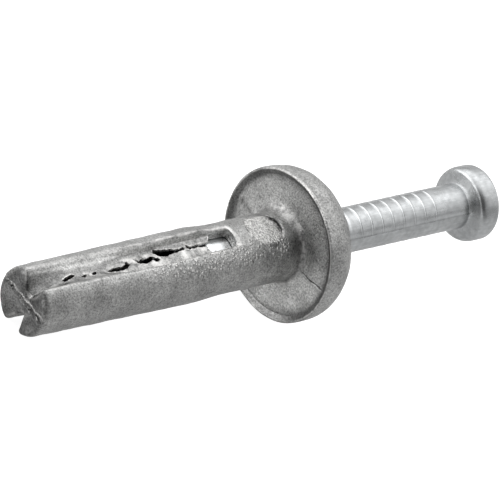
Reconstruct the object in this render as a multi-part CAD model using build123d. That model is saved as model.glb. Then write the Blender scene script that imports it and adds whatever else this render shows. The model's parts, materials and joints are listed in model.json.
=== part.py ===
from build123d import *
from math import asin, cos, degrees, hypot, radians, sin, tan
import os

os.makedirs("parts", exist_ok=True)

# A hammer drive anchor: a die-cast zinc body and the steel nail that is driven into it.
# Millimetres. Both pieces are drawn along X, the tip towards -X, with X = 0 in the plane
# of the flange's raised lip. Z is the way the casting die opens, through the middle of
# both slots, and the die's parting plane is XY. The anchor then lies on its side with the
# wide slot up: it touches the table with its two legs' corners and its flange's edge.

# The casting's shank
shank_length = 28.68
tip_radius = 3.0
tip_corner = 0.48
belly_radius = 3.15
belly_to_lip = 9.9
neck_radius = 2.97
neck_to_lip = 7.9
waist_blend = 4.0
root_flare = 0.6
root_flare_length = 1.2

# The mushroom head: a dished bearing face, a raised lip and an oval dome with a flat seat
flange_radius = 6.64
flange_chamfer = 0.2
rim_thickness = 0.95
dish_depth = 0.15
lip_width = 0.69
lip_slope = 0.35
shoulder_radius = 3.0
shoulder_turn = 52.0
crown_height = 4.1
seat_height = 4.8

# The cored bore and its two slots, which split the shank into two legs. Each slot has a
# floor width and an angle between its walls at the tip, where it narrows and at its root.
pin_clearance = 0.04
end_skin = 0.4
slot_to_lip = 6.6
slot_narrows_at = 12.0
slot_floor = 0.6
wide_slot_floors = (0.2, 1.5, 1.1)
wide_slot_angles = (54.0, 21.0, 17.0)
narrow_slot_floors = (1.2, 1.0, 0.7)
narrow_slot_angles = (4.0, 4.0, 4.0)

# The flash between the bore's core and the slot's rib, torn open in the wide slot. The
# holes' outlines are measured from the tip and from the slot's middle.
web_thickness = 0.2
torn_holes = [
    [(3.35, -0.15), (4.20, 0.00), (4.60, -0.10), (4.00, -0.24), (3.55, -0.27)],
    [(5.2, -0.40), (5.6, -0.26), (5.8, -0.30), (5.4, -0.48)],
    [(6.3, -0.35), (6.6, -0.25), (6.9, -0.25), (6.8, -0.36), (6.5, -0.44)],
    [
        (8.15, -0.40),
        (8.45, -0.28),
        (9.05, -0.23),
        (10.10, -0.24),
        (10.35, 0.09),
        (10.60, 0.07),
        (10.73, -0.21),
        (10.15, -0.43),
        (9.50, -0.42),
    ],
    [
        (11.40, 0.15),
        (11.80, -0.05),
        (12.30, 0.09),
        (12.55, 0.00),
        (13.20, 0.10),
        (13.60, -0.02),
        (13.95, -0.30),
        (13.60, -0.41),
        (13.40, -0.25),
        (13.05, -0.25),
        (12.70, -0.40),
        (12.10, -0.40),
        (11.70, -0.20),
    ],
    [
        (13.80, 0.45),
        (13.95, 0.63),
        (14.70, 0.53),
        (15.70, 0.42),
        (16.20, 0.30),
        (17.10, 0.32),
        (17.10, 0.17),
        (16.60, 0.12),
        (16.00, 0.02),
        (15.30, -0.03),
        (14.90, -0.15),
        (14.50, -0.12),
        (14.05, 0.03),
    ],
    [
        (17.45, 0.24),
        (17.50, 0.48),
        (17.75, 0.28),
        (19.60, 0.22),
        (20.20, 0.72),
        (21.70, 0.78),
        (22.20, 0.40),
        (22.20, -0.50),
        (19.80, -0.50),
        (19.55, -0.25),
        (19.60, 0.03),
        (18.20, 0.07),
    ],
]

# The scar of the casting gate, cut off flat in line with the wide slot
gate_diameter = 4.1
gate_to_lip = 3.43
gate_flat_height = 2.68

# The nail
pin_radius = 1.92
head_gap = 15.48
point_length = 4.0
point_radius = 0.75
point_gap = 0.03
head_radius = 3.18
head_thickness = 2.33
head_lower_corner = 0.86
head_upper_chamfer = 0.4

# The marks that the heading machine's grip leaves on both sides of the nail
mark_count = 9
mark_pitch = 1.24
first_mark_to_head = 3.08
mark_depth = 0.09
mark_width = 0.24
mark_reach = 80.0
mark_turn = 73.5

# The seam of the turned surfaces, from Y towards Z, clear of the slots and the gate
seam_turn = 21.4

# How far a cutter stands out past what it cuts, at its top and at its end
top_overrun = 1.0
end_overrun = 0.01

# How many times the lying tilt is bettered, each time to about a fifth of its error
tilt_steps = 8

# What follows from the sizes
bore_radius = pin_radius + pin_clearance
bore_depth = shank_length - end_skin
pin_length = seat_height + bore_depth - point_gap
head_underside = seat_height + head_gap
leg_gap = narrow_slot_floors[0] + 2 * (tip_radius - slot_floor) * tan(radians(narrow_slot_angles[0] / 2))


def body_of_revolution(outline):
    """Turn a closed outline, drawn as length and radius, once round the X axis."""
    return Rot(X=seam_turn) * revolve(make_face(outline), Axis.X)


def cast_blank():
    """The casting before its bore and slots: shank, flange and dome in one outline."""
    corners = [
        (-shank_length, 0),
        (-shank_length, tip_radius),
        (-belly_to_lip, belly_radius),
        (-neck_to_lip, neck_radius),
        (dish_depth - root_flare_length, neck_radius),
        (dish_depth, neck_radius + root_flare),
        (dish_depth, flange_radius - lip_width - lip_slope),
        (0, flange_radius - lip_width),
        (0, flange_radius - flange_chamfer),
        (flange_chamfer, flange_radius),
        (rim_thickness, flange_radius),
    ]
    blends = [tip_corner, waist_blend, waist_blend, 0, 0, 0, 0, 0, 0]
    side = FilletPolyline(*corners, radius=blends)
    shoulder = JernArc(side @ 1, (1, 0), shoulder_radius, -shoulder_turn)
    crown = TangentArc(shoulder @ 1, (rim_thickness + crown_height, 0), tangent=shoulder % 1)
    axis_line = Line(crown @ 1, side @ 0)
    blank = body_of_revolution(side + shoulder + crown + axis_line)
    spot_face = Cylinder(flange_radius, crown_height, align=(Align.CENTER, Align.CENTER, Align.MIN))
    return blank - Pos(X=seat_height) * Rot(Y=90) * spot_face


def core(thickness):
    """The bore as a solid, grown by a thickness: a round rod with a blunt conical end."""
    radius = bore_radius + thickness
    end = -bore_depth - thickness
    shoulder = point_length - bore_depth
    above_seat = seat_height + top_overrun
    outline = Polyline(
        (end, 0),
        (end, point_radius + pin_clearance + thickness),
        (shoulder, radius),
        (above_seat, radius),
        (above_seat, 0),
        close=True,
    )
    return body_of_revolution(outline)


def slot_rib(floors, angles):
    """The die's rib for one slot: a wedge with a narrow floor, from the tip to the root."""
    top = belly_radius + top_overrun
    places = (-shank_length - end_overrun, -slot_narrows_at, -slot_to_lip)
    sections = []
    for place, floor, angle in zip(places, floors, angles):
        foot = floor / 2
        brim = foot + (top - slot_floor) * tan(radians(angle / 2))
        section = Polyline(
            (place, foot, slot_floor),
            (place, brim, top),
            (place, -brim, top),
            (place, -foot, slot_floor),
            close=True,
        )
        sections.append(make_face(section))
    return loft(sections, ruled=True)


def hole_cutters():
    """The holes in the flash at the bottom of the wide slot."""
    cutters = []
    for outline in torn_holes:
        plan = make_face(Polyline(*outline, close=True))
        cutters.append(Pos(X=-shank_length) * extrude(plan, belly_radius))
    return cutters


def gate_cutter():
    """The round cutter that left the gate's flat scar on the neck."""
    height = neck_radius + top_overrun - gate_flat_height
    cutter = Cylinder(gate_diameter / 2, height, align=(Align.CENTER, Align.CENTER, Align.MIN))
    return Pos(X=-gate_to_lip, Z=gate_flat_height) * cutter


def anchor_body():
    """The casting with both slots, the torn flash, the bore and the gate's scar."""
    web_skin = core(web_thickness)
    wide_rib = slot_rib(wide_slot_floors, wide_slot_angles)
    narrow_rib = Rot(X=180) * slot_rib(narrow_slot_floors, narrow_slot_angles)
    body = cast_blank() - (wide_rib - web_skin) - (narrow_rib - web_skin)
    for hole in hole_cutters():
        body -= hole & wide_rib
    return body - core(0) - gate_cutter()


def grip_mark(place, turn):
    """A V-shaped ring set off-centre, so its cut fades out at mark_reach on each side."""
    offset = mark_depth / (1 - cos(radians(mark_reach)))
    deepest = pin_radius - mark_depth + offset
    height = 2 * offset + 2 * mark_depth
    half_width = mark_width / 2 * height / mark_depth
    section = Polyline(
        (place, deepest),
        (place - half_width, deepest + height),
        (place + half_width, deepest + height),
        close=True,
    )
    return Rot(X=turn) * Pos(Y=-offset) * body_of_revolution(section)


def drive_pin():
    """The nail: blunt point, shaft, button head and the grip's marks on two sides."""
    tip = head_underside - pin_length
    top = head_underside + head_thickness
    corners = [
        (tip, 0),
        (tip, point_radius),
        (tip + point_length, pin_radius),
        (head_underside, pin_radius),
        (head_underside, head_radius),
        (top - head_upper_chamfer, head_radius),
        (top, head_radius - head_upper_chamfer),
        (top, 0),
    ]
    blends = [0, 0, 0, head_lower_corner, 0, 0]
    side = FilletPolyline(*corners, radius=blends)
    pin = body_of_revolution(side + Line(side @ 1, side @ 0))
    for number in range(mark_count):
        place = head_underside - first_mark_to_head - number * mark_pitch
        for turn in (mark_turn, mark_turn + 180):
            pin -= grip_mark(place, turn)
    return pin


def tip_depth(tilt):
    """How far the legs' rounded corners, beside the narrow slot, lie below the lip's centre."""
    share = cos(asin(leg_gap / 2 / tip_radius))
    reach = tip_corner * hypot(sin(tilt), share * cos(tilt))
    return (tip_radius - tip_corner) * share * cos(tilt) + (shank_length - tip_corner) * sin(tilt) + reach


def flange_depth(tilt):
    """How far the flange's edge lies below the lip's centre."""
    return flange_radius * cos(tilt) - flange_chamfer * sin(tilt)


def lying_tilt():
    """The slope of the axis at which the legs' corners and the flange's edge are level."""
    tilt = 0.0
    for _ in range(tilt_steps):
        tilt += (flange_depth(tilt) - tip_depth(tilt)) / shank_length
    return tilt


def laying_down(pieces):
    """Tilt and lower the pieces, with the box's bottom centre at the origin."""
    tilt = lying_tilt()
    tilted = Pos(Z=flange_depth(tilt)) * Rot(Y=-degrees(tilt))
    box = Compound([tilted * piece for piece in pieces]).bounding_box()
    return Pos(X=-box.center().X) * tilted


upright = {"anchor_body": anchor_body(), "drive_pin": drive_pin()}
lay = laying_down(upright.values())
for name, piece in upright.items():
    laid = lay * piece
    laid.label = name
    export_step(laid, f"parts/{name}.step")
    print(name, "volume", round(laid.volume, 2))
print("tilt", round(degrees(lying_tilt()), 3), "lip plane centre", lay.position)
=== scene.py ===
import json

import bpy
import numpy as np
from bpy.props import FloatProperty, FloatVectorProperty, IntProperty, PointerProperty
from mathutils import Matrix


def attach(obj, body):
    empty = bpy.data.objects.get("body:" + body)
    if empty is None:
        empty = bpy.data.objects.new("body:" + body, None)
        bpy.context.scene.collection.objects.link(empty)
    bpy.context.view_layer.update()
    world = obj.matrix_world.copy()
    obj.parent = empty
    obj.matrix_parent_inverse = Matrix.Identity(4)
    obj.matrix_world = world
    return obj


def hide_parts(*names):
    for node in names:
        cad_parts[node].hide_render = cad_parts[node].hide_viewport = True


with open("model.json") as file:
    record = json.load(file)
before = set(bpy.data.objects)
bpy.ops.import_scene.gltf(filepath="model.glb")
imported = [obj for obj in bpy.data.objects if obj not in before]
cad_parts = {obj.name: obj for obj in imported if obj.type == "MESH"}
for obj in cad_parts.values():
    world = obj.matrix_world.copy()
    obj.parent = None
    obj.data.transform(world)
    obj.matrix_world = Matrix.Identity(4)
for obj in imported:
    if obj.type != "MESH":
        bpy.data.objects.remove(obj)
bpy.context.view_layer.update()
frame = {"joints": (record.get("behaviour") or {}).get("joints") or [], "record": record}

bl_info = {
    "name": "Hammer drive anchor",
    "version": (1, 0, 0),
    "blender": (4, 5, 0),
    "location": "View3D > Sidebar > Anchor",
    "description": "A die-cast hammer drive anchor with its nail, built round its packed frame",
    "category": "Object",
}

# Lengths in this file are millimetres in the anchor's drawn frame, until a mesh is placed:
# X runs along the anchor towards the nail's head, with X = 0 in the plane of the flange's
# lip, Z points out of the wide slot, and angles start at Z and turn towards Y.
METRES = 0.001

# A distance in millimetres that stands for nowhere near
FAR_AWAY = 9.0

# The camera's own axes are right, up and back. Both directions were fitted to the outline.
TOWARDS_HEAD_SEEN = (0.7331, 0.1628, -0.6603)
OUT_OF_SLOT_SEEN = (0.4084, 0.6708, 0.6189)
CAMERA_DISTANCE = 1800.0
FRAME_WIDTH = 41.53
SENSOR_WIDTH = 36.0
LIP_CENTRE_SEEN = (2.265, 0.398)

# The casting's sizes and the nail's. Most are the solids' own. The flange's lip and edge, the
# root's fillet, the slots' floor, the gate's scar and the nail's head and marks differ a little,
# because they are shaped more finely here.
CASTING = {
    "shank_length": 28.68,
    "tip_radius": 3.0,
    "tip_corner": 0.48,
    "belly_radius": 3.15,
    "belly_to_lip": 9.9,
    "neck_radius": 2.97,
    "neck_to_lip": 7.9,
    "root_fillet": (0.6, 0.75),
    "flange_radius": 6.615,
    "flange_edge": 0.13,
    "rim_thickness": 0.95,
    "dish_depth": 0.15,
    "dish_rim_depth": 0.32,
    "lip_radius": 6.195,
    "lip_crest": 0.05,
    "lip_slope": 0.45,
    "shoulder_radius": 3.0,
    "shoulder_turn": 52.0,
    "crown_height": 4.1,
    "seat_height": 4.8,
    "bore_radius": 1.96,
    "bore_end": 28.28,
    "bore_point_radius": 0.79,
    "bore_point_length": 4.0,
    "slot_to_lip": 6.6,
    "slot_floor": 0.7,
    "gate_radius": 1.75,
    "gate_to_lip": 3.1,
    "gate_offset": 0.1,
    "gate_flat_height": 2.64,
}
NAIL = {
    "radius": 1.92,
    "point_radius": 0.75,
    "point_length": 4.0,
    "tip": -12.77,
    "head_underside": 20.28,
    "head_radius": 3.18,
    "head_thickness": 2.32,
    "head_cone": (0.3, 2.75),
    "head_cone_blend": 1.1,
    "head_side_rings": (1.4, 1.7),
    "head_top_rings": (2.2, 1.6, 1.0, 0.5, 0.0),
    "head_upper_corner": 0.4,
    "first_mark_to_head": 3.85,
    "mark_width": 0.17,
    "burr_height": 0.5,
    "burr_place": 0.62,
    "burr_width": 0.05,
    "highlight_full_depth": 0.045,
    "mark_reach": 80.0,
    "mark_turn": 8.0,
    "seam_turn": -63.5,
}

# Each slot's walls at places along the shank: how far each edge lies from the slot's middle,
# 2.8 mm out from the axis, and how much the wall nears the middle for each mm inwards
WIDE_SLOT = {
    "places": (-28.7, -24.9, -20.6, -17.0, -15.3, -9.6, -6.3),
    "far_edge": (1.30, 1.34, 1.20, 1.02, 0.96, 1.02, 0.88),
    "far_slope": (0.70, 1.10, 0.85, 0.45, 0.35, 0.25, 0.20),
    "near_edge": (1.13, 1.15, 1.18, 1.28, 1.33, 1.15, 0.91),
    "near_slope": (0.32, 0.50, 0.45, 0.30, 0.25, 0.18, 0.15),
}
NARROW_SLOT = {
    "places": (-28.7, -26.5, -12.0, -6.6),
    "far_edge": (0.60, 0.54, 0.50, 0.36),
    "far_slope": (0.60, 0.15, 0.03, 0.03),
    "near_edge": (1.05, 0.95, 0.70, 0.40),
    "near_slope": (0.20, 0.15, 0.08, 0.03),
}
EDGE_HEIGHT = 2.8

# The holes torn in the wide slot's flash, in plan: distance from the tip and offset
TORN_HOLES = [
    [(3.35, -0.15), (3.69, -0.06), (4.19, 0.0), (4.59, -0.07), (4.51, -0.18), (4.02, -0.24), (3.55, -0.27)],
    [(5.25, -0.35), (5.54, -0.26), (5.76, -0.26), (5.68, -0.39), (5.4, -0.48), (5.17, -0.48)],
    [(6.26, -0.35), (6.55, -0.26), (6.91, -0.23), (6.82, -0.36), (6.49, -0.44)],
    [(8.14, -0.4), (8.44, -0.28), (9.04, -0.23), (9.58, -0.26), (10.1, -0.24), (10.39, 0.09), (10.6, 0.07),
     (10.56, -0.09), (10.73, -0.21), (10.42, -0.35), (10.15, -0.46), (9.48, -0.5), (8.7, -0.48)],
    [(11.38, 0.21), (11.61, 0.07), (11.81, -0.12), (12.3, 0.09), (12.55, -0.03), (12.95, 0.05), (13.22, 0.11),
     (13.56, -0.03), (13.89, -0.21), (14.0, -0.38), (13.64, -0.41), (13.43, -0.22), (13.07, -0.25),
     (12.76, -0.38), (12.19, -0.39), (11.75, -0.21), (11.55, -0.01)],
    [(13.89, 0.64), (14.21, 0.62), (14.68, 0.53), (15.19, 0.45), (15.72, 0.42), (16.17, 0.28), (16.73, 0.28),
     (17.1, 0.32), (17.1, 0.18), (16.61, 0.13), (16.09, 0.03), (15.63, 0.02), (15.36, -0.03), (14.93, -0.16),
     (14.51, -0.12), (14.06, 0.03), (13.94, 0.31), (13.76, 0.43)],
    [(17.48, 0.5), (17.62, 0.4), (17.7, 0.23), (18.25, 0.21), (18.52, 0.27), (18.95, 0.24), (19.4, 0.24),
     (19.69, 0.17), (20.25, 0.69), (20.31, 0.87), (20.8, 0.8), (21.71, 0.81), (22.03, 0.78), (22.17, 0.45),
     (22.3, 0.27), (22.5, -0.6), (19.76, -0.6), (19.52, -0.27), (19.55, 0.0), (19.12, 0.03), (18.6, 0.08),
     (18.15, 0.07), (17.6, 0.1), (17.43, 0.24)],
]


def axis_towards_head():
    """The unit vector along the anchor, from the slide joint's axis in the record."""
    return -np.array(frame["joints"][0]["axis"], float)


def drawn_axes():
    """The drawn frame's three axes as rows, in the row frame."""
    along = axis_towards_head()
    out_of_slot = np.array((-along[2], 0.0, along[0]))
    return np.array((along, np.cross(out_of_slot, along), out_of_slot))


def lip_centre():
    """The drawn frame's origin in metres: the flange seat's point, raised by its radius."""
    seat = next(m for m in frame["record"]["mounts"] if m["name"] == "flange_seat")
    return np.array(seat["pos_m"], float) + CASTING["lip_radius"] * METRES * drawn_axes()[2]


def placed(points):
    """Drawn points in the row frame, in metres: each is turned to the axes and moved to the lip."""
    return points @ drawn_axes() * METRES + lip_centre()


def smooth_max(first, second, width):
    """The larger of two distances, rounded off over a width where they are nearly equal."""
    share = np.clip(0.5 + 0.5 * (first - second) / width, 0, 1)
    return second + (first - second) * share + width * share * (1 - share)


def smooth_min(first, second, width):
    """The smaller of two distances, with a fillet about as wide as the width."""
    return -smooth_max(-first, -second, width)


def round_max(first, second, radius):
    """The larger of two distances, with a true round edge: the length of both past the radius."""
    outside = np.hypot(np.maximum(first + radius, 0), np.maximum(second + radius, 0))
    return np.minimum(np.maximum(first, second) + radius, 0) + outside - radius


def bump(value, width):
    """A soft bump round zero: one in its middle, and falling off as a bell over its width."""
    return np.exp(-(value / width) ** 2)


def ramp(value, start, end):
    """Zero before the start, one past the end, and smooth between the two."""
    share = np.clip((value - start) / (end - start), 0, 1)
    return share * share * (3 - 2 * share)


def ripple(x, y, z, size, seed, waves=14):
    """A smooth uneven field of unit strength: cosines of plane waves in random directions."""
    rng = np.random.default_rng(seed)
    total = 0.0
    for _ in range(waves):
        direction = rng.normal(size=3)
        direction *= 2 * np.pi / size * rng.uniform(0.6, 1.5) / np.linalg.norm(direction)
        total = total + np.cos(x * direction[0] + y * direction[1] + z * direction[2] + rng.uniform(0, 6.283))
    return total * np.sqrt(2 / waves)


def outline_distance(across, up, corners):
    """Signed distance to a closed outline: the least distance to a side, negative inside.

    A point is inside if a ray from it crosses the sides an odd number of times."""
    nearest = np.full(np.shape(across), np.inf)
    inside = np.zeros(np.shape(across), bool)
    for (ax, ay), (bx, by) in zip(corners, corners[1:] + corners[:1]):
        ex, ey = bx - ax, by - ay
        wx, wy = across - ax, up - ay
        share = np.clip((wx * ex + wy * ey) / (ex * ex + ey * ey), 0, 1)
        nearest = np.minimum(nearest, (wx - ex * share) ** 2 + (wy - ey * share) ** 2)
        crosses = (ay > up) != (by > up)
        if ay != by:
            inside ^= crosses & (across < ex * (up - ay) / (by - ay) + ax)
    return np.where(inside, -1, 1) * np.sqrt(nearest)


def arc(centre, radius, start, end, steps):
    """Points along an arc, from one angle to another in degrees."""
    turn = np.radians(np.linspace(start, end, steps))
    return [(centre[0] + radius * c, centre[1] + radius * s) for c, s in zip(np.cos(turn), np.sin(turn))]


def flange_outline():
    """The flange and dome's half section: dished face, lip, rim, shoulder, crown and seat."""
    c = CASTING
    edge, rim, shoulder = c["flange_edge"], c["flange_radius"], c["shoulder_radius"]
    turn = np.radians(c["shoulder_turn"])
    join = np.array((c["rim_thickness"] + shoulder * np.sin(turn), rim - shoulder * (1 - np.cos(turn))))
    end = np.array((c["rim_thickness"] + c["crown_height"], 0.0))
    chord = join - end
    normal = np.array((np.sin(turn), np.cos(turn)))
    crown = chord @ chord / (2 * chord @ normal)
    centre = join - crown * normal
    last = np.degrees(np.arccos((c["seat_height"] - centre[0]) / crown))
    seat_radius = centre[1] + crown * np.sin(np.radians(last))
    points = [
        (-0.6, 0.0),
        (-0.6, 2.0),
        (c["dish_depth"], 2.2),
        (c["dish_depth"], 4.4),
        (c["dish_rim_depth"], rim - edge - c["lip_crest"] - c["lip_slope"]),
        (0.0, rim - edge - c["lip_crest"]),
        (0.0, rim - edge),
        (edge, rim),
    ]
    points += arc((c["rim_thickness"], rim - shoulder), shoulder, 90, 90 - c["shoulder_turn"], 14)
    points += arc(centre, crown, 90 - c["shoulder_turn"], last, 16)[1:]
    return points + [(c["seat_height"], seat_radius - 0.001), (c["seat_height"], 0.0)]


def shank_distance(x, r):
    """The shank as a turned form: its radius follows a tip, belly and neck line in x."""
    c = CASTING
    places = (-c["shank_length"], -c["belly_to_lip"] - 0.2, -c["belly_to_lip"] + 0.2, -c["neck_to_lip"] - 0.2,
              -c["neck_to_lip"] + 0.2)
    radii = (c["tip_radius"], c["belly_radius"] - 0.002, c["belly_radius"] - 0.02, c["neck_radius"] + 0.02,
             c["neck_radius"])
    side = r - np.interp(x, places, radii)
    return round_max(side, -c["shank_length"] - x, c["tip_corner"])


def core_distance(x, r):
    """The bore as a solid: a round rod, a blunt cone and a flat end."""
    c = CASTING
    places = (-c["bore_end"], -c["bore_end"] + c["bore_point_length"])
    radius = np.interp(x, places, (c["bore_point_radius"], c["bore_radius"]))
    return np.maximum((r - radius) * 0.97, -c["bore_end"] - x)


def slot_distance(x, y, z, slot):
    """One slot: outside both of its walls, below its floor or past its root is metal."""
    far_slope, near_slope = (np.interp(x, slot["places"], slot[k]) for k in ("far_slope", "near_slope"))
    far = y - np.interp(x, slot["places"], slot["far_edge"]) - far_slope * (z - EDGE_HEIGHT)
    near = -y - np.interp(x, slot["places"], slot["near_edge"]) - near_slope * (z - EDGE_HEIGHT)
    walls = smooth_max(far / np.hypot(1, far_slope), near / np.hypot(1, near_slope), 0.1)
    return smooth_max(np.maximum(walls, CASTING["slot_floor"] - z), x + CASTING["slot_to_lip"], 0.3)


def torn_distance(x, y):
    """The least distance to any of the holes torn in the flash, in plan, negative inside one."""
    nearest = np.full(np.shape(x), FAR_AWAY)
    for outline in TORN_HOLES:
        nearest = np.minimum(nearest, outline_distance(x + CASTING["shank_length"], y, outline))
    return nearest


def parting_groove(x, y, z, r):
    """The die halves' parting line across the flange's dished face: a thin groove on each side."""
    near_side = bump(z + 0.36 + 0.167 * y + 0.03 * np.sin(4 * y), 0.08) * ramp(-y, 3.2, 3.5)
    far_side = 0.5 * bump(z + 0.35 + 0.05 * np.sin(4 * y), 0.08) * ramp(y, 3.2, 4.0)
    return (near_side + far_side) * ramp(x, -0.6, -0.3) * ramp(-r, -6.2, -5.7) * ramp(-x, -0.6, -0.4)


def above_tip_seam(y, z):
    """How far above the end face's wavy parting seam a point lies."""
    return z - 0.46 - 0.05 * np.sin(5 * y) + 0.05 * y


def tip_seam(x, y, z):
    """What the casting's rough parting seam takes off the tip's end face.

    The face lies a little back, but for a thin raised seam along the parting plane, and a
    band of pits on the seam's lower side is where the ripple is high."""
    seam = bump(above_tip_seam(y, z), 0.09)
    pitted = ramp(ripple(x, y, z, 0.5, 51), 0.2, 1.1) * bump(z - 0.16, 0.22)
    face = ramp(-x, CASTING["shank_length"] - 0.6, CASTING["shank_length"] - 0.2)
    return face * (0.05 * (1 - seam) + 0.14 * pitted)


def gate_distance(x, y):
    """How far outside the gate's round scar a point lies, in plan."""
    return np.hypot(x + CASTING["gate_to_lip"], y - CASTING["gate_offset"]) - CASTING["gate_radius"]


def gate_crack(x, y, z):
    """The crack round the gate's scar, deepest on its side towards the flange."""
    turn = np.degrees(np.arctan2(y - CASTING["gate_offset"], x + CASTING["gate_to_lip"]))
    reach = ramp(turn, -135, -115) * ramp(-turn, -75, -55) * (0.4 + 0.6 * bump(turn - 30, 35))
    return bump(gate_distance(x, y) - 0.03 - 0.04 * np.sin(turn / 7), 0.12) * reach * ramp(z, 1.8, 2.2)


def casting_form(x, y, z, flash_thickness, grain):
    """The casting's signed distance, negative in the metal.

    It is the shank joined to the flange, less both slots but for the web of flash round the
    bore's core, less the holes torn in the web, the bore and the flat of the gate. The grain
    scales the surface's unevenness, and zero leaves the even form."""
    c = CASTING
    r = np.hypot(y, z)

    def uneven(size, seed, height):
        """A ripple of a height in millimetres, scaled by the grain."""
        return grain * height * ripple(x, y, z, size, seed) if grain else 0.0

    flange = np.full(np.shape(x), FAR_AWAY)
    near_flange = x > -1.6
    flange[near_flange] = outline_distance(x[near_flange], r[near_flange], flange_outline())
    above_gate = bump(np.degrees(np.arctan2(y, z)) - 28, 42)
    body = smooth_min(shank_distance(x, r), flange, c["root_fillet"][0] + c["root_fillet"][1] * above_gate)
    body = body + uneven(2.6, 11, 0.01) + uneven(1.2, 12, 0.005)
    core = core_distance(x, r)
    wall_wave = uneven(2.4, 22, 0.008) + uneven(0.7, 23, 0.004)
    wide = slot_distance(x, y, z, WIDE_SLOT) + wall_wave
    narrow = slot_distance(x, y, -z, NARROW_SLOT) + wall_wave
    inside_slot = (wide < 0.3) & (z > 0)
    torn = np.full(np.shape(x), FAR_AWAY)
    torn[inside_slot] = torn_distance(x[inside_slot], y[inside_slot])
    curled = 0.04 * bump(torn, 0.1) * grain
    ledge = 0.25 * ramp(y, 0.3, 1.0) * ramp(x, -19.0, -16.0)
    skin = core - flash_thickness - curled - ledge + uneven(1.3, 21, 0.015)
    hollow = np.interp(x, (-28.7, -26.0, -21.0, -17.5), (0.35, 1.0, 0.9, 0.12))
    body = smooth_max(body, -smooth_max(wide, -skin, hollow), 0.34)
    body = smooth_max(body, -smooth_max(narrow, -skin, 0.3), 0.34)
    ragged = uneven(0.35, 31, 0.02) + uneven(0.18, 32, 0.012)
    holes = np.maximum(np.maximum(torn + ragged - 0.04, -z), wide - 0.05)
    body = smooth_max(body, -holes, 0.03)
    gate = np.maximum(gate_distance(x, y), c["gate_flat_height"] - z)
    body = smooth_max(body, -gate + uneven(1.0, 42, 0.012), 0.08)
    body = smooth_max(body, x - c["seat_height"], 0.08)
    if grain:
        body = body + 0.13 * parting_groove(x, y, z, r) + tip_seam(x, y, z) + 0.06 * gate_crack(x, y, z)
    return smooth_max(body, -core, 0.04)


def casting_distance(x, y, z, flash_thickness=0.2, grain=1.0):
    """The casting's distance, with the surface's unevenness only worked out near the surface."""
    value = casting_form(x, y, z, flash_thickness, 0.0)
    near = np.abs(value) < 0.4
    value[near] = casting_form(x[near], y[near], z[near], flash_thickness, grain)
    return value


def slope_of(distance, points, step=0.01):
    """The gradient of a distance at points, by central differences."""
    slope = np.empty_like(points)
    for axis in range(3):
        shift = np.zeros(3)
        shift[axis] = step
        ahead, behind = points + shift, points - shift
        slope[:, axis] = (distance(*ahead.T) - distance(*behind.T)) / (2 * step)
    return slope


def lines(stops, steps):
    """Grid lines between stops, evenly spaced by about the step given for each stretch."""
    parts = []
    for start, end, step in zip(stops[:-1], stops[1:], steps):
        count = max(1, round((end - start) / step))
        parts.append(np.linspace(start, end, count, endpoint=False))
    return np.append(np.concatenate(parts), stops[-1])


def surface_net(distance, along, turns, out):
    """The surface where a distance is zero, on a grid of length, angle and radius.

    Each cell that the surface passes gets one point, the mean of the places where its edges
    cross it. Each grid edge that crosses it gets a face between the four cells round it, and
    one on the axis gets a face between all the cells round the axis."""
    x = along[:, None, None] + 0 * turns[None, :, None] + 0 * out[None, None, :]
    y = out[None, None, :] * np.sin(turns)[None, :, None] + 0 * x
    z = out[None, None, :] * np.cos(turns)[None, :, None] + 0 * x
    value = distance(x, y, z)
    metal = value < 0
    count = len(turns)
    around = np.roll(metal, -1, axis=1)
    corners = [m[i:len(along) - 1 + i, :, k:len(out) - 1 + k]
               for m in (metal, around) for i in (0, 1) for k in (0, 1)]
    mixed = np.any(corners, axis=0) & ~np.all(corners, axis=0)
    i, j, k = np.nonzero(mixed)
    number = np.full(mixed.shape, -1)
    number[i, j, k] = np.arange(len(i))
    total = np.zeros((len(i), 3))
    hits = np.zeros((len(i), 1))
    starts = [(a, b, c) for a in (0, 1) for b in (0, 1) for c in (0, 1)]
    for first in starts:
        for axis in range(3):
            if first[axis]:
                continue
            second = tuple(s + (n == axis) for n, s in enumerate(first))
            at = [(i + s[0], (j + s[1]) % count, k + s[2]) for s in (first, second)]
            v0, v1 = value[at[0]], value[at[1]]
            cross = (v0 < 0) != (v1 < 0)
            share = np.where(cross, v0 / np.where(cross, v0 - v1, 1), 0)[:, None]
            ends = [np.stack((x[a], y[a], z[a]), axis=1) for a in at]
            total += np.where(cross[:, None], ends[0] + share * (ends[1] - ends[0]), 0)
            hits += cross[:, None]
    faces = [along_faces(metal, number), turn_faces(metal, number), out_faces(metal, number)]
    return total / hits, np.concatenate(faces), axis_faces(metal, number)


def facing(quads, leaves):
    """Quads turned over where the metal doesn't end in the way that they were drawn."""
    return np.where(leaves[:, None], quads, quads[:, ::-1])


def along_faces(metal, number):
    """Faces across the grid edges that run along the length."""
    i, j, k = np.nonzero(metal[:-1, :, 1:-1] != metal[1:, :, 1:-1])
    k = k + 1
    b = (j - 1) % metal.shape[1]
    quads = np.stack((number[i, b, k - 1], number[i, j, k - 1], number[i, j, k], number[i, b, k]), axis=1)
    return facing(quads, metal[i, j, k])


def turn_faces(metal, number):
    """Faces across the grid edges that run round the axis."""
    i, j, k = np.nonzero(metal[1:-1, :, 1:-1] != np.roll(metal, -1, axis=1)[1:-1, :, 1:-1])
    i, k = i + 1, k + 1
    b = i - 1
    quads = np.stack((number[b, j, k - 1], number[b, j, k], number[i, j, k], number[i, j, k - 1]), axis=1)
    return facing(quads[:, ::-1], ~metal[i, j, k])


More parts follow.
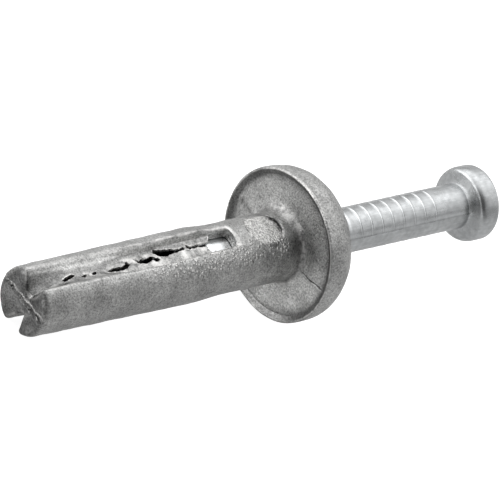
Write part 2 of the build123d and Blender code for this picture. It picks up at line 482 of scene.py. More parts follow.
def out_faces(metal, number):
    """Faces across the grid edges that run outwards."""
    i, j, k = np.nonzero(metal[1:-1, :, :-1] != metal[1:-1, :, 1:])
    i = i + 1
    b = (j - 1) % metal.shape[1]
    quads = np.stack((number[i - 1, b, k], number[i, b, k], number[i, j, k], number[i - 1, j, k]), axis=1)
    return facing(quads, metal[i, j, k])


def axis_faces(metal, number):
    """The faces that close the surface where it crosses the axis, one round of cells each."""
    rounds = []
    for i in np.nonzero(metal[:-1, 0, 0] != metal[1:, 0, 0])[0]:
        ring = number[i, :, 0]
        rounds.append(list(ring[::-1] if metal[i, 0, 0] else ring))
    return rounds


def ring_quads(rows, columns):
    """Faces between neighbouring rings of points, closed round the axis, facing outwards."""
    row, column = np.meshgrid(np.arange(rows - 1), np.arange(columns), indexing="ij")
    after = (column + 1) % columns
    low, high = row * columns, (row + 1) * columns
    return np.stack((low + column, low + after, high + after, high + column), axis=2).reshape(-1, 4)


def add_object(name, data, turn=None, place=None):
    """An object in the scene, turned and moved if a turn and a place are given."""
    obj = bpy.data.objects.new(name, data)
    bpy.context.scene.collection.objects.link(obj)
    if turn is not None:
        matrix = np.eye(4)
        matrix[:3, :3] = turn
        matrix[:3, 3] = place
        obj.matrix_world = Matrix(matrix.tolist())
    return obj


def mesh_object(name, points, quads, rounds=(), normals=None):
    """A smooth-shaded object at the origin from drawn points, with its place in its mesh."""
    mesh = bpy.data.meshes.new(name)
    mesh.from_pydata(placed(points), [], quads.tolist() + [list(r) for r in rounds])
    mesh.shade_smooth()
    mesh.validate()
    if normals is not None:
        mesh.normals_split_custom_set_from_vertices(normals @ drawn_axes())
    return add_object(name, mesh)


def set_attribute(obj, name, values):
    """A value for each vertex of an object, which its material reads by name."""
    attribute = obj.data.attributes.new(name, "FLOAT", "POINT")
    attribute.data.foreach_set("value", np.asarray(values, np.float32))


def make_casting(settings):
    """The die casting: the zero surface of its distance, drawn onto it by Newton's steps."""
    def distance(x, y, z):
        """The casting's distance, with the settings' flash and unevenness."""
        return casting_distance(x, y, z, settings.flash_thickness / METRES, settings.unevenness)

    along = lines((-28.9, -28.3, -27.0, -6.0, -1.2, -0.3, 0.4, 1.2, 5.3),
                  (0.08, 0.09, 0.1, 0.18, 0.1, 0.06, 0.12, 0.3))
    turns = np.radians(lines((-180, -162, -90, -80, -36, -14, 32, 40, 162, 180),
                             (2.6, 5, 1.3, 5, 2.2, 1.37, 2.0, 5, 2.6)))[:-1]
    out = lines((0, 0.6, 1.7, 2.4, 3.0, 3.3, 6.2, 6.8), (0.15, 0.11, 0.07, 0.1, 0.075, 0.17, 0.08))
    points, quads, rounds = surface_net(distance, along, turns, out)
    for _ in range(3):
        slope = slope_of(distance, points)
        step = distance(*points.T)[:, None] * slope / np.maximum((slope ** 2).sum(1), 0.2)[:, None]
        points = points - np.clip(step, -0.06, 0.06)
    slope = slope_of(distance, points)
    normals = slope / np.linalg.norm(slope, axis=1)[:, None]
    obj = mesh_object("die_casting", points, quads, rounds, normals)
    mark_casting(obj, distance, points, normals)
    return obj


def gate_marks(x, y, z, normals):
    """The gate's torn flat, and the low wall that its cutter left on the flange's side."""
    flat = ramp(-gate_distance(x, y), -0.05, 0.15) * ramp(z, 2.3, 2.5) * ramp(normals[:, 2], 0.8, 0.95)
    wall = bump(gate_distance(x, y) - 0.1, 0.22) * ramp(-normals[:, 0], 0.2, 0.5) * (z > 2.3)
    return flat, wall


def flange_marks(x, y, z, r, turn):
    """The flange's painted shade, painted shadow, stains, lighter skin and painted highlight.

    Painted shade lies inside the lip, on the lip's low side and in the near side's root. A painted
    shadow of the shank reaches out from that root, which gets more painted shade, a darker spot
    lies inside the lip's low side and a darker line along the parting. The skin is lighter on the
    low, far and near parts of the dished face, and the lip's top edge has a painted highlight."""
    front = x < 0.6
    low_side = bump(np.abs(turn) - 170, 40)
    # Painted shade inside the lip and on the lip's low side
    inside_lip = ramp(r, 5.3, 6.1) * ramp(-r, -6.5, -6.38) * front * (1 - 0.8 * low_side)
    low_lip = 0.6 * ramp(r, 5.8, 6.2) * (x < 0.3) * low_side
    # Painted shade in the near side's root, where the shank meets the flange
    root = ramp(x, -0.45, -0.1) * ramp(-r, -3.6, -3.2) * front * ramp(-turn, 5, 30) * ramp(turn, -110, -85)
    painted_shade = np.max((inside_lip, low_lip, 0.8 * root), axis=0)
    face = ramp(r, 3.0, 3.3) * ramp(-r, -6.0, -5.7) * (x > -0.9) * front
    # A painted shadow of the shank, falling on the flange's near side
    shank_shadow = ramp(x, -1.4, -0.9) * front * ramp(r, 2.8, 3.1) * ramp(-r, -5.6, -4.2) * bump(turn + 42, 26)
    low_spot = face * ramp(r, 4.9, 5.6) * bump(turn + 138, 32)
    parting = parting_groove(x, y, z, r)
    stain_and_shade = np.max((0.5 * shank_shadow, 0.4 * root, 0.6 * low_spot, 1.3 * parting), axis=0)
    low_face = face * ramp(-z, -0.3, 0.0) * ramp(-y, -1.0, 1.0)
    far_face = face * bump(turn - 80, 35)
    near_face = face * ramp(-z, -2.6, -1.6) * ramp(-y, 2.0, 3.0)
    brightened = np.max((low_face, 0.4 * far_face, 0.55 * near_face), axis=0)
    # A painted highlight along the lip's top edge, in patches
    rubbed = ramp(ripple(x, y, z, 1.4, 61), -1, 0.3)
    crest_highlight = 1.8 * bump(r - 6.5, 0.11) * (x < 0.25) * bump(turn + 5, 32) * rubbed
    return painted_shade, stain_and_shade, brightened, crest_highlight


def tip_marks(x, y, z, r, turn):
    """The end face's darkening, all over, in its pits, and as painted shade in two spots and at its
    near edge, and its seam.
    """
    tip = ramp(-x, 28.3, 28.6)
    # Painted shade in two spots and at the end face's near edge; the pits are real
    wall_spot = bump(np.hypot(y - 1.07, z - 2.54), 0.35)
    floor_spot = bump(np.hypot(y - 0.78, z - 1.24), 0.45)
    near_edge = bump(turn + 40, 14) * ramp(r, 2.5, 2.8)
    pits = bump(z - 0.12, 0.2) * ramp(ripple(x, y, z, 0.5, 51), -0.2, 0.8)
    stain_and_shade = tip * (0.85 + 0.5 * wall_spot + 0.4 * floor_spot + 0.5 * near_edge + 0.7 * pits)
    return stain_and_shade, tip * bump(above_tip_seam(y, z), 0.08)


def slot_marks(x, y, z, r, turn):
    """The wide slot's web, its torn edges with a painted highlight on the end wall, painted light on
    its walls and near edge, and the painted glints beside it.
    """
    upper = z > 0
    web = ramp(-r, -2.5, -2.3) * upper
    torn = bump(np.maximum(torn_distance(x, y), 0), 0.08) * upper * (r < 2.35)
    inside = upper * (x < -6.3) * ramp(-r, -3.0, -2.85)
    brim_near_tip = ramp(r, 2.2, 2.8) * ramp(-x, 17.0, 23.0)
    # Painted light on the far wall, less near the tip, and on the end wall
    far_wall = inside * ramp(y, 0.2, 0.6) * ramp(-y, -1.7, -1.5) * (1 - 0.75 * brim_near_tip)
    end_wall = inside * ramp(x, -7.4, -7.1) * (np.abs(y) < 1.2)
    # A painted highlight low on the end wall's near side
    end_wall_highlight = 1.5 * end_wall * ramp(-z, -2.6, -2.35) * ramp(-y, -0.6, -0.1)
    # A painted highlight along the near edge
    near_edge = bump(turn + 31, 8) * (r > 2.8) * ramp(-x, 6.0, 9.0)
    brightened = np.maximum((0.9 * far_wall + 0.5 * end_wall) * (1 - web), 0.22 * near_edge)
    glints = ramp(x, -20.0, -12.0) * ramp(-x, 0.9, 2.0) * bump(turn + 37, 17) * (r < 3.7) * (1 - web)
    return web, np.maximum(torn, end_wall_highlight), brightened, glints


def mark_casting(obj, distance, points, normals):
    """What the casting's material reads at each vertex: none of it at zero, and all of it at one.

    Edge and hollow tell how little metal, or how little air, lies a short way in or out; edges
    brighten with wear and a painted highlight, and hollows darken with painted shade. The rest
    are the marks of the gate, flange, tip and slot, and where two meet, the stronger."""
    depth = 0.14
    edge = 1 + distance(*(points - depth * normals).T) / depth
    hollow = 1 - distance(*(points + depth * normals).T) / depth
    x, y, z = points.T
    r, turn = np.hypot(y, z), np.degrees(np.arctan2(y, z))
    gate_flat, gate_wall = gate_marks(x, y, z, normals)
    painted_shade, flange_shadow_and_stain, flange_lighter, crest_highlight = flange_marks(x, y, z, r, turn)
    tip_stain_and_shade, seam = tip_marks(x, y, z, r, turn)
    web, torn, slot_painted_light, glints = slot_marks(x, y, z, r, turn)
    # Darkening: the flange's painted shadow and shade, the tip's painted shade, and stains and the crack
    stain_and_shade = np.max((flange_shadow_and_stain, tip_stain_and_shade, 1.3 * gate_crack(x, y, z)), axis=0)
    marks = {
        "edge": np.clip(edge, 0, 1) * (1 - np.clip(gate_wall, 0, 1)),
        # Hollow darkens the skin as painted shade
        "hollow": np.clip(hollow, 0, 1),
        # The scar holds torn metal and the tip's seam, with painted highlights on the lip and the end wall
        "scar": np.max((gate_flat, torn, seam, crest_highlight), axis=0),
        "glints": glints,
        "web": web,
        # Painted shade also darkens the gate's low wall
        "painted_shade": np.maximum(painted_shade, gate_wall),
        "stain_and_shade": np.clip(stain_and_shade, 0, 1),
        # Painted light in the slot, and lighter skin on the flange's dished face
        "brightened": np.maximum(flange_lighter, slot_painted_light),
    }
    for name, values in marks.items():
        set_attribute(obj, name, values)


def nail_outline():
    """The nail's length and radius from its point to the middle of its head's top.

    The head's underside is a flat cone, and a parabola blends it into the head's side: its
    points are the two ends and the corner between them, weighted (1-t)^2, 2t(1-t) and t^2."""
    n = NAIL
    cone, upper, head = n["head_cone"], n["head_upper_corner"], n["head_radius"]
    underside, top = n["head_underside"], n["head_underside"] + n["head_thickness"]
    shaft = lines((n["tip"], n["tip"] + n["point_length"], 4.5, 6.9, 18.0, underside - 0.02),
                  (0.25, 0.5, 0.2, 0.04, 0.15))
    outline = [(n["tip"], 0.0), (n["tip"], n["point_radius"] * 0.5)]
    point, point_radii = (n["tip"], n["tip"] + n["point_length"]), (n["point_radius"], n["radius"])
    outline += [(x, np.interp(x, point, point_radii)) for x in shaft]
    outline.append((underside, n["radius"] + 0.03))
    outline.append((underside + 0.3 * cone[0], 0.7 * n["radius"] + 0.3 * cone[1]))
    corner = cone[0] * (head - n["radius"]) / (cone[1] - n["radius"])
    share = np.linspace(0, 1, 18)
    blend = cone[0] * (1 - share) ** 2 + 2 * corner * share * (1 - share) + n["head_cone_blend"] * share ** 2
    outline += list(zip(underside + blend, head - (head - cone[1]) * (1 - share) ** 2))
    outline += [(underside + place, head) for place in n["head_side_rings"]]
    outline += arc((top - upper, head - upper), upper, 90, 0, 10)
    return outline + [(top, radius) for radius in n["head_top_rings"]]


def grip_marks(x, turn, settings):
    """How deep the grip's marks cut at a length and an angle.

    Each is a V in length that fades out round the nail as the cosine of the angle from the
    die's middle does, with a burr along both sides. A burr's height is a share of the mark's
    depth, and its place a share of the mark's width. Both dies press the same set."""
    n = NAIL
    reach = np.cos(np.radians(n["mark_reach"]))
    depth = 0.0
    for number in range(settings.mark_count):
        place = n["head_underside"] - n["first_mark_to_head"] - number * settings.mark_pitch / METRES
        for side in (0, 180):
            share = (np.cos(turn - np.radians(n["mark_turn"] + side)) - reach) / (1 - reach)
            full = settings.mark_depth / METRES
            cut = full * share - np.abs(x - place) * 2 * full / n["mark_width"]
            burr = n["burr_height"] * full * np.clip(share, 0, 1)
            burr = burr * bump(np.abs(x - place) - n["mark_width"] * n["burr_place"], n["burr_width"])
            depth = depth + np.maximum(cut, 0) - burr
    return depth


def make_nail(settings):
    """The nail: its outline turned round the axis, with the grip's marks that its dies press into it."""
    n = NAIL
    x, r = np.array(nail_outline()).T[:, :, None]
    turn = np.radians(np.arange(0, 360, 2.0))[None, :]
    on_shaft = (np.abs(r - n["radius"]) < 0.001) & (x > 4.5)
    off_seam = np.degrees(np.angle(np.exp(1j * (turn - np.radians(n["seam_turn"])))))
    seam = 0.02 * bump(off_seam, 2.5) - 0.015 * bump(off_seam - 7, 6)
    cut = np.where(on_shaft, grip_marks(x, turn, settings) - seam, 0.0)
    radius = r - cut
    points = np.stack((x + 0 * turn, radius * np.sin(turn), radius * np.cos(turn)), axis=2)
    rows, columns = points.shape[:2]
    obj = mesh_object("nail", points.reshape(-1, 3), ring_quads(rows, columns))
    on_low_side = ramp(-off_seam, 0, 2) + 0 * x
    set_attribute(obj, "below_seam", on_low_side.reshape(-1))
    # Painted light on the part inside the bore, and painted highlights in the grip's marks
    in_bore = 0.4 * ramp(-x, -5.0, -4.5) + 0 * turn
    painted_light = np.maximum(np.clip(cut / n["highlight_full_depth"], 0, 1), in_bore)
    set_attribute(obj, "painted_light", painted_light.reshape(-1))
    return obj


def linear(hex_colour):
    """An sRGB hex colour as linear red, green, blue and full opacity."""
    parts = [int(hex_colour[n:n + 2], 16) / 255 for n in (1, 3, 5)]
    return tuple(p / 12.92 if p <= 0.04045 else ((p + 0.055) / 1.055) ** 2.4 for p in parts) + (1.0,)


def add_node(tree, kind, inputs=None, **settings):
    """Add a node, apply its settings and fill its inputs: a socket is linked, a value is set."""
    node = tree.nodes.new(kind)
    for name, value in settings.items():
        setattr(node, name, value)
    for name, value in (inputs or {}).items():
        if isinstance(value, bpy.types.NodeSocket):
            tree.links.new(value, node.inputs[name])
        else:
            node.inputs[name].default_value = value
    return node


def new_material(name):
    """An empty node material and its tree."""
    material = bpy.data.materials.new(name)
    material.use_nodes = True
    material.node_tree.nodes.clear()
    return material, material.node_tree


def cast_zinc(settings):
    """Die-cast zinc alloy, as cast: a dull grey skin with soft blotches and a fine salt-and-pepper
    grain from the die's wear, bright on edges with wear and a painted highlight and where metal was
    torn, with painted glints, painted shade in corners and a painted shadow of the shank."""
    material, tree = new_material("die-cast zinc alloy, as cast")
    where = add_node(tree, "ShaderNodeTexCoord").outputs["Object"]
    read = {name: add_node(tree, "ShaderNodeAttribute", attribute_name=name).outputs["Fac"]
            for name in ("edge", "hollow", "scar", "glints", "web", "painted_shade", "stain_and_shade", "brightened")}

    # Blotches of 3 mm, mottling of 0.8 mm, a grain of 0.16 mm, which is coarser than the real one,
    # pits about 1 mm apart, and domes of 0.3 mm, some of which carry a painted glint
    noise = {}
    for name, size, detail, roughness in (("blotch", 3.0, 4.0, 0.5), ("mottle", 0.8, 5.0, 0.6),
                                          ("grain", 0.16, 3.0, 0.65)):
        noise[name] = add_node(tree, "ShaderNodeTexNoise", {
            "Vector": where, "Scale": 1 / (size * METRES), "Detail": detail, "Roughness": roughness,
        }).outputs["Fac"]
    pits = add_node(tree, "ShaderNodeTexVoronoi", {"Vector": where, "Scale": 1 / (1.1 * METRES)})
    grains = add_node(tree, "ShaderNodeTexVoronoi", {"Vector": where, "Scale": 1 / (0.3 * METRES)})
    pick = add_node(tree, "ShaderNodeSeparateColor", {"Color": grains.outputs["Color"]})

    # How each pattern or mark is read: two of its levels, and what each of them becomes
    part = {}
    for name, value, low, high, at_low, at_high in (
            # Patches in the painted shadow, painted shade and stains
            ("patchiness", noise["mottle"], 0.4, 0.6, 1.15, 0.75),
            # Edges show wear with a painted highlight
            ("wear_and_highlight", read["edge"], 0.1, 0.5, 0.0, 0.45),
            ("rubbed", noise["mottle"], 0.4, 0.58, 0.0, 1.4),
            ("dome", grains.outputs["Distance"], 0.5, 0.25, 0.0, 1.0),
            ("picked", pick.outputs[0], 0.35, 0.5, 0.0, 1.0),
            ("flecks", noise["grain"], 0.38, 0.62, 0.15, 0.75)):
        part[name] = add_node(tree, "ShaderNodeMapRange", {
            "Value": value, "From Min": low, "From Max": high, "To Min": at_low, "To Max": at_high,
        }).outputs[0]
    stain_and_shade = add_node(tree, "ShaderNodeMath", {
        0: part["patchiness"], 1: read["stain_and_shade"]}, operation="MULTIPLY", use_clamp=True)

    # What each pattern or mark makes of the skin's tone: two of its levels, and the tone at each
    tone = 1.0
    for value, low, high, at_low, at_high in (
            (noise["blotch"], 0.35, 0.65, 0.8, 1.12),
            (noise["mottle"], 0.35, 0.6, 0.88, 1.06),
            (noise["grain"], 0.3, 0.7, 0.5, 1.54),
            (pits.outputs["Distance"], 0.04, 0.12, 0.5, 1.0),
            # Painted shade in hollows
            (read["hollow"], 0.1, 0.5, 1.0, 0.45),
            # Painted shade inside the lip, in the shank's root and on the gate's wall
            (read["painted_shade"], 0.0, 1.0, 1.0, 0.5),
            # Painted shadow and painted shade, with stains and the gate's crack
            (stain_and_shade.outputs[0], 0.0, 1.0, 1.0, 0.42),
            # Painted light in the slot, and lighter skin on the flange
            (read["brightened"], 0.0, 1.0, 1.0, 2.15),
            (read["web"], 0.0, 1.0, 1.0, 0.72)):
        share = add_node(tree, "ShaderNodeMapRange", {
            "Value": value, "From Min": low, "From Max": high, "To Min": at_low, "To Max": at_high})
        tone = add_node(tree, "ShaderNodeMath", {
            0: tone, 1: share.outputs[0]}, operation="MULTIPLY").outputs[0]
    skin = add_node(tree, "ShaderNodeVectorMath", {
        0: tuple(settings.skin_colour)[:3], "Scale": tone}, operation="SCALE")

    # The light metal colour shows in patches on edges, as wear with a painted highlight, as painted
    # glints, and in flecks of torn metal and of the painted highlights that the scar holds
    wear_and_highlight = add_node(tree, "ShaderNodeMath", {0: part["wear_and_highlight"], 1: part["rubbed"]}, operation="MULTIPLY")
    glint = add_node(tree, "ShaderNodeMath", {0: part["dome"], 1: part["picked"]}, operation="MULTIPLY")
    glint = add_node(tree, "ShaderNodeMath", {0: glint.outputs[0], 1: read["glints"]}, operation="MULTIPLY")
    torn = add_node(tree, "ShaderNodeMath", {
        0: read["scar"], 1: part["flecks"]}, operation="MULTIPLY", use_clamp=True)
    bare_and_highlight = add_node(tree, "ShaderNodeMath", {0: wear_and_highlight.outputs[0], 1: glint.outputs[0]}, operation="MAXIMUM")
    bare_and_highlight = add_node(tree, "ShaderNodeMath", {0: bare_and_highlight.outputs[0], 1: torn.outputs[0]}, operation="MAXIMUM")
    colour = add_node(tree, "ShaderNodeMix", {
        "Factor": bare_and_highlight.outputs[0], "A": skin.outputs[0], "B": tuple(settings.bare_and_highlight_colour)}, data_type="RGBA")

    smooth = add_node(tree, "ShaderNodeMath", {0: bare_and_highlight.outputs[0], 1: read["web"]}, operation="MAXIMUM")
    rough = add_node(tree, "ShaderNodeMapRange", {"Value": smooth.outputs[0], "To Min": 0.44, "To Max": 0.28})
    coarse = add_node(tree, "ShaderNodeMath", {0: read["glints"], 1: read["scar"]}, operation="MAXIMUM")
    height = add_node(tree, "ShaderNodeMapRange", {
        "Value": coarse.outputs[0], "To Min": 0.06 * METRES, "To Max": 0.12 * METRES})
    raised = add_node(tree, "ShaderNodeMath", {
        0: glint.outputs[0], 1: 2.4, 2: noise["grain"]}, operation="MULTIPLY_ADD")
    relief = add_node(tree, "ShaderNodeBump", {
        "Height": raised.outputs[0], "Strength": 0.85, "Distance": height.outputs[0]})
    shader = add_node(tree, "ShaderNodeBsdfPrincipled", {
        "Base Color": colour.outputs["Result"], "Metallic": 1.0, "Roughness": rough.outputs[0],
        "Normal": relief.outputs["Normal"]})
    add_node(tree, "ShaderNodeOutputMaterial", {"Surface": shader.outputs[0]})
    return material


def plated_steel(settings):
    """Steel wire with bright zinc plating: a smooth, faintly bluish silver with soft streaks
    along the drawn wire, small lighter and darker patches, a duller band below the seam of the
    grip's dies, and painted highlights in the grip's marks and painted light on the part in the bore."""
    material, tree = new_material("bright zinc-plated steel")
    where = add_node(tree, "ShaderNodeTexCoord").outputs["Object"]
    below, painted_light = (add_node(tree, "ShaderNodeAttribute", attribute_name=name).outputs["Fac"]
                      for name in ("below_seam", "painted_light"))

    # Streaks of 0.15 mm, twelve times as long, which are coarser than the real ones, patches of
    # 0.45 mm, and clouds of 1.6 mm in the roughness
    tilt = float(np.arcsin(-axis_towards_head()[2]))
    streaked = add_node(tree, "ShaderNodeMapping", {
        "Vector": where, "Scale": (12.0, 1.0, 1.0), "Rotation": (0.0, tilt, 0.0)}, vector_type="TEXTURE")
    streak = add_node(tree, "ShaderNodeTexNoise", {
        "Vector": streaked.outputs[0], "Scale": 1 / (0.15 * METRES), "Detail": 5.0, "Roughness": 0.6})
    patch = add_node(tree, "ShaderNodeTexNoise", {
        "Vector": where, "Scale": 1 / (0.45 * METRES), "Detail": 4.0})
    cloud = add_node(tree, "ShaderNodeTexNoise", {
        "Vector": where, "Scale": 1 / (1.6 * METRES), "Detail": 3.0})

    tone = add_node(tree, "ShaderNodeMapRange", {
        "Value": streak.outputs["Fac"], "From Min": 0.3, "From Max": 0.7, "To Min": 0.88, "To Max": 1.1})
    patchy = add_node(tree, "ShaderNodeMapRange", {
        "Value": patch.outputs["Fac"], "From Min": 0.35, "From Max": 0.65, "To Min": 0.88, "To Max": 1.1})
    tone = add_node(tree, "ShaderNodeMath", {
        0: tone.outputs[0], 1: patchy.outputs[0]}, operation="MULTIPLY")
    # Painted highlights in the grip's marks and painted light inside the bore brighten the tone
    tone_and_painted_light = add_node(tree, "ShaderNodeMath", {
        0: painted_light, 1: 1.3, 2: tone.outputs[0]}, operation="MULTIPLY_ADD")
    colour = add_node(tree, "ShaderNodeVectorMath", {
        0: tuple(settings.plating_colour)[:3], "Scale": tone_and_painted_light.outputs[0]}, operation="SCALE")
    rough = add_node(tree, "ShaderNodeMapRange", {
        "Value": cloud.outputs["Fac"], "From Min": 0.35, "From Max": 0.65, "To Min": 0.22, "To Max": 0.38})
    duller = add_node(tree, "ShaderNodeMath", {
        0: below, 1: 0.06, 2: rough.outputs[0]}, operation="MULTIPLY_ADD")
    relief = add_node(tree, "ShaderNodeBump", {
        "Height": streak.outputs["Fac"], "Strength": 0.15, "Distance": 0.02 * METRES})
    shader = add_node(tree, "ShaderNodeBsdfPrincipled", {
        "Base Color": colour.outputs[0], "Metallic": 1.0, "Roughness": duller.outputs[0],
        "Normal": relief.outputs["Normal"]})
    add_node(tree, "ShaderNodeOutputMaterial", {"Surface": shader.outputs[0]})
    return material


def camera_turn():
    """The camera's axes in the row frame, as the columns of a turn.

    The turn takes the two fitted directions, and the one square to both, onto the anchor's."""
    seen_along, seen_out = np.array(TOWARDS_HEAD_SEEN), np.array(OUT_OF_SLOT_SEEN)
    seen_along = seen_along / np.linalg.norm(seen_along)
    seen_out = seen_out - seen_along * (seen_out @ seen_along)
    seen_out = seen_out / np.linalg.norm(seen_out)
    seen = np.array((seen_along, np.cross(seen_out, seen_along), seen_out))
    return drawn_axes().T @ seen


def make_camera():
    """A long lens at the photograph's viewing angle, rolled as it was."""
    data = bpy.data.cameras.new("camera")
    data.sensor_width = SENSOR_WIDTH
    data.lens = SENSOR_WIDTH * CAMERA_DISTANCE / FRAME_WIDTH
    data.clip_end = 10.0
    turn = camera_turn()
    seen = np.array((-LIP_CENTRE_SEEN[0], -LIP_CENTRE_SEEN[1], CAMERA_DISTANCE))
    bpy.context.scene.camera = add_object("camera", data, turn, lip_centre() + turn @ seen * METRES)


def make_floor(settings):
    """A white floor that glows to the eye and in reflections, and keeps the object's shadow."""
    reach = 1500.0 * METRES
    corners = [(-reach, -reach, 0), (reach, -reach, 0), (reach, reach, 0), (-reach, reach, 0)]
    mesh = bpy.data.meshes.new("floor")
    mesh.from_pydata(corners, [], [(0, 1, 2, 3)])
    floor = add_object("floor", mesh)
    material, tree = new_material("white floor")
    path = add_node(tree, "ShaderNodeLightPath")
    mirrored = add_node(tree, "ShaderNodeMath", {
        0: path.outputs["Is Glossy Ray"], 1: path.outputs["Is Transmission Ray"],
    }, operation="ADD", use_clamp=True)
    glow = add_node(tree, "ShaderNodeMath", {
        0: mirrored.outputs[0], 1: settings.floor_reflected}, operation="MULTIPLY")
    glow = add_node(tree, "ShaderNodeMath", {
        0: path.outputs["Is Camera Ray"], 1: settings.floor_glow, 2: glow.outputs[0],
    }, operation="MULTIPLY_ADD")
    emission = add_node(tree, "ShaderNodeEmission", {"Color": (1, 1, 1, 1), "Strength": glow.outputs[0]})
    diffuse = add_node(tree, "ShaderNodeBsdfDiffuse", {"Color": (0.4, 0.4, 0.4, 1)})
    both = add_node(tree, "ShaderNodeAddShader", {0: emission.outputs[0], 1: diffuse.outputs[0]})
    add_node(tree, "ShaderNodeOutputMaterial", {"Surface": both.outputs[0]})
    floor.data.materials.append(material)


# Each soft part of the surroundings: its direction seen by the camera, how much it adds to the
# plain level, and the cosines from its middle at which it starts and is full
SURROUNDINGS = [
    ((-1.0, 0.0, 0.0), 3.2, 0.3, 0.95),
    ((1.0, 0.0, 0.0), 0.5, 0.3, 0.95),
    ((0.0, 0.0, 1.0), 0.1, 0.3, 0.95),
    ((0.59, 0.79, -0.15), 0.9, 0.3, 0.95),
    ((0.05, 0.9, 0.35), 1.2, 0.5, 0.95),
    ((-0.7, 0.7, 0.0), 0.45, 0.3, 0.95),
]

# Each soft lamp: its name, its direction seen by the camera, width, height, distance and radiance
LAMPS = [
    ("overhead softbox", (0.55, 0.8, -0.1), 260, 160, 400, 0.4),
]


def make_surroundings(settings):
    """White all round to the camera's eye, and to reflections a plain level with brighter parts."""
    world = bpy.data.worlds.new("surroundings")
    bpy.context.scene.world = world
    world.use_nodes = True
    tree = world.node_tree
    tree.nodes.clear()
    where = add_node(tree, "ShaderNodeTexCoord").outputs["Generated"]
    total = settings.plain_level
    for seen, level, start, end in SURROUNDINGS:
        direction = camera_turn() @ (np.array(seen) / np.linalg.norm(seen))
        near = add_node(tree, "ShaderNodeVectorMath", {
            0: where, 1: tuple(direction)}, operation="DOT_PRODUCT")
        part = add_node(tree, "ShaderNodeMapRange", {
            "Value": near.outputs["Value"], "From Min": start, "From Max": end, "To Max": level,
        }, interpolation_type="SMOOTHSTEP")
        total = add_node(tree, "ShaderNodeMath", {0: part.outputs[0], 1: total}, operation="ADD").outputs[0]
    path = add_node(tree, "ShaderNodeLightPath")
    strength = add_node(tree, "ShaderNodeMix", {
        "Factor": path.outputs["Is Camera Ray"], "A": total, "B": 1.0}, data_type="FLOAT")
    background = add_node(tree, "ShaderNodeBackground", {
        "Color": (1, 1, 1, 1), "Strength": strength.outputs[0]})
    add_node(tree, "ShaderNodeOutputWorld", {"Surface": background.outputs[0]})


def make_lamps(settings):
    """The soft lamps, each turned to the lip's centre."""
    turn = camera_turn()
    for name, seen, width, height, distance, radiance in LAMPS:
        data = bpy.data.lights.new(name, "AREA")
        data.shape = "RECTANGLE"
        data.size, data.size_y = width * METRES, height * METRES
        data.energy = np.pi * data.size * data.size_y * radiance * settings.lamp_level
        back = turn @ (np.array(seen) / np.linalg.norm(seen))
        # Its width lies square to the camera's upright, or to the camera's view for a lamp overhead
        upright = turn[:, 2] if abs(back @ turn[:, 1]) > 0.8 else turn[:, 1]
        side = np.cross(upright, back)
        side /= np.linalg.norm(side)
        own_turn = np.array((side, np.cross(back, side), back)).T
        add_object(name, data, own_turn, lip_centre() + back * distance * METRES)


class CastingSettings(bpy.types.PropertyGroup):
    """What a user would change on the casting."""
    flash_thickness: FloatProperty(
        name="Flash thickness", description="Thickness of the web of flash in the slots",
        default=0.2 * METRES, min=0.05 * METRES, max=0.6 * METRES, unit="LENGTH")
    unevenness: FloatProperty(
        name="Unevenness", description="How uneven the cast surface is, as a share of the real",
        default=1.0, min=0.0, max=3.0, subtype="FACTOR")
    skin_colour: FloatVectorProperty(
        name="Skin", description="Colour of the metal's skin as cast",
        size=4, subtype="COLOR", default=linear("#a0a09f"), min=0.0, max=1.0)
    # Also the colour of the painted highlights on edges and the lip, and of painted glints
    bare_and_highlight_colour: FloatVectorProperty(
        name="Bare metal", description="Colour of rubbed and torn metal",
        size=4, subtype="COLOR", default=linear("#e4e3e1"), min=0.0, max=1.0)


class NailSettings(bpy.types.PropertyGroup):
    """What a user would change on the nail."""
    mark_count: IntProperty(
        name="Grip marks", description="How many grip marks run along each side of the nail",
        default=9, min=0, max=9)
    mark_pitch: FloatProperty(
        name="Mark pitch", description="Distance from one grip mark to the next",
        default=1.22 * METRES, min=0.5 * METRES, max=1.24 * METRES, unit="LENGTH")
    mark_depth: FloatProperty(
        name="Mark depth", description="Depth of a grip mark in its middle",
        default=0.045 * METRES, min=0.0, max=0.2 * METRES, unit="LENGTH")
    plating_colour: FloatVectorProperty(
        name="Plating", description="Colour of the zinc plating",
        size=4, subtype="COLOR", default=linear("#acaeaf"), min=0.0, max=1.0)


class StageSettings(bpy.types.PropertyGroup):
    """What a user would change on the stage."""
    plain_level: FloatProperty(
        name="Plain level", description="Light that comes from every side of the surroundings",
        default=0.03, min=0.0, max=2.0)
    floor_glow: FloatProperty(
        name="Floor glow", description="Light that the white floor gives to the eye",
        default=0.92, min=0.0, max=2.0)
    floor_reflected: FloatProperty(
        name="Floor reflected", description="Light that the floor gives to reflections",
        default=0.32, min=0.0, max=2.0)
    lamp_level: FloatProperty(
        name="Lamp level", description="Strength of all the lamps together",
        default=1.0, min=0.0, max=5.0)


class ANCHOR_OT_die_casting(bpy.types.Operator):
    """Build the die-cast body in place of its solid"""
    bl_idname = "anchor.die_casting"
    bl_label = "Build the die casting"

    def execute(self, context):
        settings = context.scene.anchor_casting
        casting = make_casting(settings)
        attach(casting, "casting")
        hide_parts("anchor_body")
        casting.data.materials.append(cast_zinc(settings))
        return {"FINISHED"}


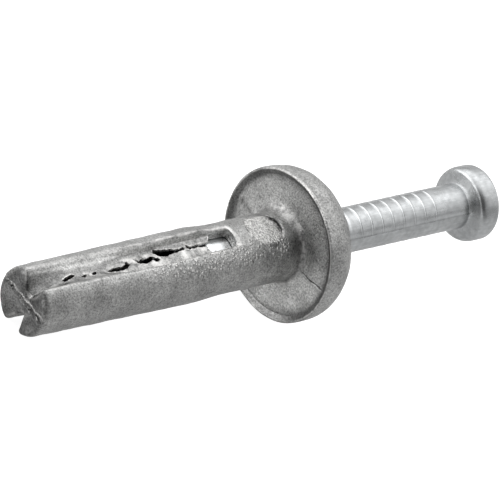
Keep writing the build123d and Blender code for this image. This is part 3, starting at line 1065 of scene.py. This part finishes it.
class ANCHOR_OT_nail(bpy.types.Operator):
    """Build the nail in place of its solid"""
    bl_idname = "anchor.nail"
    bl_label = "Build the nail"

    def execute(self, context):
        settings = context.scene.anchor_nail
        nail = make_nail(settings)
        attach(nail, "nail")
        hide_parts("drive_pin")
        nail.data.materials.append(plated_steel(settings))
        return {"FINISHED"}


class ANCHOR_OT_stage(bpy.types.Operator):
    """Set the camera, the white floor, the surroundings and the lamps"""
    bl_idname = "anchor.stage"
    bl_label = "Set the stage"

    def execute(self, context):
        settings = context.scene.anchor_stage
        make_camera()
        make_floor(settings)
        make_surroundings(settings)
        make_lamps(settings)
        context.scene.view_settings.view_transform = "Standard"
        return {"FINISHED"}


class ANCHOR_PT_sidebar(bpy.types.Panel):
    """The anchor's settings and its build steps"""
    bl_label = "Hammer drive anchor"
    bl_idname = "ANCHOR_PT_sidebar"
    bl_space_type = "VIEW_3D"
    bl_region_type = "UI"
    bl_category = "Anchor"

    def draw(self, context):
        scene = context.scene
        steps = ((scene.anchor_casting, ANCHOR_OT_die_casting), (scene.anchor_nail, ANCHOR_OT_nail),
                 (scene.anchor_stage, ANCHOR_OT_stage))
        for settings, operator in steps:
            box = self.layout.box()
            for name in type(settings).__annotations__:
                box.prop(settings, name)
            box.operator(operator.bl_idname)


CLASSES = (CastingSettings, NailSettings, StageSettings, ANCHOR_OT_die_casting, ANCHOR_OT_nail,
           ANCHOR_OT_stage, ANCHOR_PT_sidebar)


def register():
    """Register the classes and hang their settings on the scene."""
    for cls in CLASSES:
        bpy.utils.register_class(cls)
    bpy.types.Scene.anchor_casting = PointerProperty(type=CastingSettings)
    bpy.types.Scene.anchor_nail = PointerProperty(type=NailSettings)
    bpy.types.Scene.anchor_stage = PointerProperty(type=StageSettings)


def unregister():
    """Take the settings off the scene and unregister the classes."""
    del bpy.types.Scene.anchor_stage
    del bpy.types.Scene.anchor_nail
    del bpy.types.Scene.anchor_casting
    for cls in reversed(CLASSES):
        bpy.utils.unregister_class(cls)


def main():
    """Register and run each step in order."""
    register()
    bpy.ops.anchor.die_casting()
    bpy.ops.anchor.nail()
    bpy.ops.anchor.stage()


if __name__ == "__main__":
    main()
